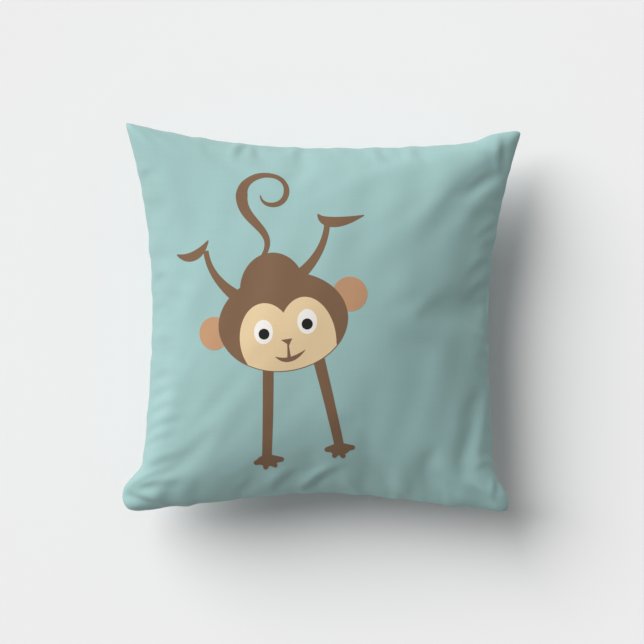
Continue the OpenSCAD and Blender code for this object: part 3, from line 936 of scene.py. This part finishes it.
def prism(outer, holes, y0, y1):
    """A plate in the XZ plane between two depths, from an outline with holes."""
    rings = [np.asarray(r, float) for r in (outer, *holes)]
    verts = np.concatenate(rings)
    edges, start = [], 0
    for ring in rings:
        edges += [(start + k, start + (k + 1) % len(ring)) for k in range(len(ring))]
        start += len(ring)
    made = delaunay_2d_cdt([Vector(v) for v in (verts / MM).tolist()], edges, [], 0, 1e-5)
    flat, tris = np.array(made[0]) * MM, np.array(made[2])
    centre = flat[tris].mean(1)
    keep = inside(centre, rings[0])
    for hole in rings[1:]:
        keep &= ~inside(centre, hole)
    tris = tris[keep]
    n = len(flat)
    low = np.stack([flat[:, 0], np.full(n, y0), flat[:, 1]], -1)
    high = np.stack([flat[:, 0], np.full(n, y1), flat[:, 1]], -1)
    sides = np.concatenate([tris[:, [0, 1]], tris[:, [1, 2]], tris[:, [2, 0]]]).tolist()
    both = {tuple(e) for e in sides}
    rim = [(a, b) for a, b in both if (b, a) not in both]
    return np.concatenate([low, high]), tris.tolist() + (tris[:, ::-1] + n).tolist() + [
        [b, a, a + n, b + n] for a, b in rim]


def moved(part, by):
    v, f = part
    return np.asarray(v) + np.asarray(by), f


def metal_piece(name, parts, node, body="pillow", bevel=0.16 * MM):
    v, f = joined(parts)
    made = piece(name, v, f, "zip_metal", [node], v[:, ::2], body, sharp=50)
    soft = made.modifiers.new("edges", "BEVEL")
    soft.width = bevel
    soft.segments = 3
    soft.limit_method = "ANGLE"
    soft.angle_limit = math.radians(40)
    soft.harden_normals = True
    return made


def rounded_box(x0, x1, z0, z1, r=0.5 * MM, count=5):
    points = []
    corners = ((x1 - r, z1 - r, 0), (x0 + r, z1 - r, 90), (x0 + r, z0 + r, 180), (x1 - r, z0 + r, 270))
    for cx, cz, a0 in corners:
        for a in np.radians(a0 + np.linspace(0, 90, count)):
            points.append((cx + r * math.cos(a), cz + r * math.sin(a)))
    return np.array(points)


def stop(node, name):
    lo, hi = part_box(node)
    return metal_piece(name, [prism(rounded_box(lo.x, hi.x, lo.z, hi.z), [], lo.y, hi.y)], node)


stop("zip_top_stop_front", "zip_top_stop_upper")
stop("zip_top_stop_back", "zip_top_stop_lower")
stop("zip_bottom_stop", "zip_end_stop")

slider_lo, slider_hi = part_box("zip_slider")
SLIDER_X = (slider_lo.x + slider_hi.x) / 2
PLATE_T = 1.0 * MM
BRIDGE_H = 2.6 * MM
OUTER_Y = slider_lo.y + BRIDGE_H        # outer face of the outer plate


def slider():
    """Slider body: two shield-shaped plates, side flanges, the wedge between the coils and the bridge."""
    half = [
        (-5, 0), (-4.9, 2.2), (-4.3, 3.1), (-2.5, 3.6), (0.5, 4.0), (3, 4.1),
        (4.2, 3.7), (4.8, 2.7), (5, 1.4), (4.8, 0),
    ]
    outline = np.array(half + [(x, -z) for x, z in half[-2:0:-1]]) * MM
    outline = outline[::-1]
    parts = [
        prism(outline, [], OUTER_Y, OUTER_Y + PLATE_T),
        prism(outline, [], slider_hi.y - PLATE_T, slider_hi.y),
        prism(rounded_box(0.7 * MM, 4.4 * MM, -0.19 * MM, 0.19 * MM, 0.15 * MM), [],
              OUTER_Y + PLATE_T / 2, slider_hi.y - PLATE_T / 2),
    ]
    for z in (-4.05 * MM, 3.4 * MM):
        box = rounded_box(-3.4 * MM, 3.4 * MM, z, z + 0.65 * MM, 0.3 * MM)
        parts.append(prism(box, [], OUTER_Y, OUTER_Y + PLATE_T + 1.9 * MM))
    # the bridge is a strap bent over the outer plate
    a = np.radians(np.linspace(0, 180, 17))
    path = np.stack([2.1 * MM * np.cos(a), -(BRIDGE_H - 0.3 * MM) * np.sin(a) ** 0.6 + 0.1 * MM], -1)
    ahead = np.gradient(path, axis=0)
    out = np.stack([ahead[:, 1], -ahead[:, 0]], -1)
    out = out / np.linalg.norm(ahead, axis=1, keepdims=True) * 0.3 * MM
    strap = np.concatenate([path + out, (path - out)[::-1]])
    v, f = prism(strap, [], -0.8 * MM, 0.8 * MM)
    v = v[:, [0, 2, 1]] + (0, OUTER_Y, 0)
    parts.append((v, [face[::-1] for face in f]))
    in_place = [moved(p, (SLIDER_X, 0, SEAM_Z)) for p in parts]
    return metal_piece("zip_slider_body", in_place, "zip_slider", "slider")


slider()

tab_lo, tab_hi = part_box("zip_pull_tab")
TAB_Y = (tab_lo.y + tab_hi.y) / 2
TAB_L = SLIDER_X - tab_lo.x


def pull_tab():
    """Pull tab: a flat tag with a window round the bridge, a pivot bar and a raised rim."""
    w = (tab_hi.z - tab_lo.z) / 2
    a = np.radians(np.linspace(90, 270, 17))
    tip = [(-TAB_L + w + w * math.cos(q), w * math.sin(q)) for q in a]
    root = [(-5 * MM, -w), (-3.6 * MM, -w * 0.86), (0.3 * MM, -w * 0.86), (0.6 * MM, -w * 0.6),
            (0.6 * MM, w * 0.6), (0.3 * MM, w * 0.86), (-3.6 * MM, w * 0.86), (-5 * MM, w)]
    outline = np.array(tip + root)
    window = rounded_box(-4.5 * MM, -0.1 * MM, -1.25 * MM, 1.25 * MM, 0.6 * MM)
    rim_in = np.array([(-TAB_L + w + (w - 0.7 * MM) * math.cos(q), (w - 0.7 * MM) * math.sin(q)) for q in a]
                      + [(-6.4 * MM, -w + 0.8 * MM), (-6.4 * MM, w - 0.8 * MM)])
    rim_out = np.array(tip + [(-5.6 * MM, -w), (-5.6 * MM, w)])
    bar_a = np.radians(np.linspace(0, 360, 24, endpoint=False))
    bar = [(0.55 * MM * math.cos(q), 0.55 * MM * math.sin(q)) for q in bar_a]
    bar_v, bar_f = prism(bar, [], -w * 0.84, w * 0.84)
    parts = [
        prism(outline, [window], -0.36 * MM, 0.36 * MM),
        prism(rim_out, [rim_in], -0.5 * MM, 0.5 * MM),
        (bar_v[:, [0, 2, 1]], [face[::-1] for face in bar_f]),
    ]
    return metal_piece("zip_pull", [moved(p, (SLIDER_X, TAB_Y, SEAM_Z)) for p in parts],
                       "zip_pull_tab", "pull_tab", 0.1 * MM)


pull_tab()


def care_label():
    """A blank tape folded in half, hanging inside the left seam."""
    lo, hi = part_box("care_label")
    u = np.linspace(0, 1, 13)
    across = np.linspace(lo.y, hi.y, 9)
    y, k = np.meshgrid(across, u)
    x = lo.x + 1.2 * MM * np.sin(k * math.pi) + 0.3 * MM * np.sin(y / MM * 0.4)
    z = lo.z + (hi.z - lo.z) * k
    v = np.stack([x, y, z], -1).reshape(-1, 3)
    made = piece("care_label_tape", v, quads(np.arange(y.size).reshape(y.shape)), "label_tape",
                 ["care_label"], v[:, 1:])
    shell = made.modifiers.new("thickness", "SOLIDIFY")
    shell.thickness = 0.25 * MM
    return made


care_label()

# ---------------------------------------------------------------- stage, light, camera

def stage():
    mesh = bpy.data.meshes.new("floor")
    size = 12
    square = [(-size, -size, 0), (size, -size, 0), (size, size, 0), (-size, size, 0)]
    mesh.from_pydata(square, [], [(0, 1, 2, 3)])
    floor = bpy.data.objects.new("floor", mesh)
    bpy.context.scene.collection.objects.link(floor)
    n = Nodes("floor")
    n.shader.inputs["Base Color"].default_value = (0.8, 0.8, 0.8, 1)
    n.shader.inputs["Roughness"].default_value = 1
    n.shader.inputs["Specular IOR Level"].default_value = 0
    mesh.materials.append(n.material)


def lights():
    sun = bpy.data.lights.new("key", "SUN")
    sun.energy = 3.6
    sun.angle = math.radians(48)
    key = bpy.data.objects.new("key", sun)
    bpy.context.scene.collection.objects.link(key)
    towards = Vector((-0.72, 0.60, 0.80))
    key.rotation_euler = towards.to_track_quat("Z", "Y").to_euler()
    world = bpy.data.worlds.new("studio")
    world.use_nodes = True
    tree = world.node_tree
    where = tree.nodes.new("ShaderNodeTexCoord")
    # the room is brighter beyond the top of the pillow than beyond its bottom
    lean = tree.nodes.new("ShaderNodeVectorMath")
    lean.operation = "DOT_PRODUCT"
    lean.inputs[1].default_value = (-0.02, 0.08, 0)
    tree.links.new(where.outputs["Generated"], lean.inputs[0])
    level = tree.nodes.new("ShaderNodeMath")
    level.inputs[1].default_value = 0.32
    tree.links.new(lean.outputs["Value"], level.inputs[0])
    tree.links.new(level.outputs[0], tree.nodes["Background"].inputs["Color"])
    bpy.context.scene.world = world


def camera():
    data = bpy.data.cameras.new("camera")
    data.sensor_width = 36
    distance = 2.08                   # from the lens to the seam plane
    view_w = 0.631                    # width seen at the seam plane
    data.lens = data.sensor_width * distance / view_w
    made = bpy.data.objects.new("camera", data)
    made.location = (1 * MM, -4 * MM, SEAM_Z + distance)
    bpy.context.scene.collection.objects.link(made)
    bpy.context.scene.camera = made


stage()
lights()
camera()
bpy.context.scene.view_settings.view_transform = "Standard"
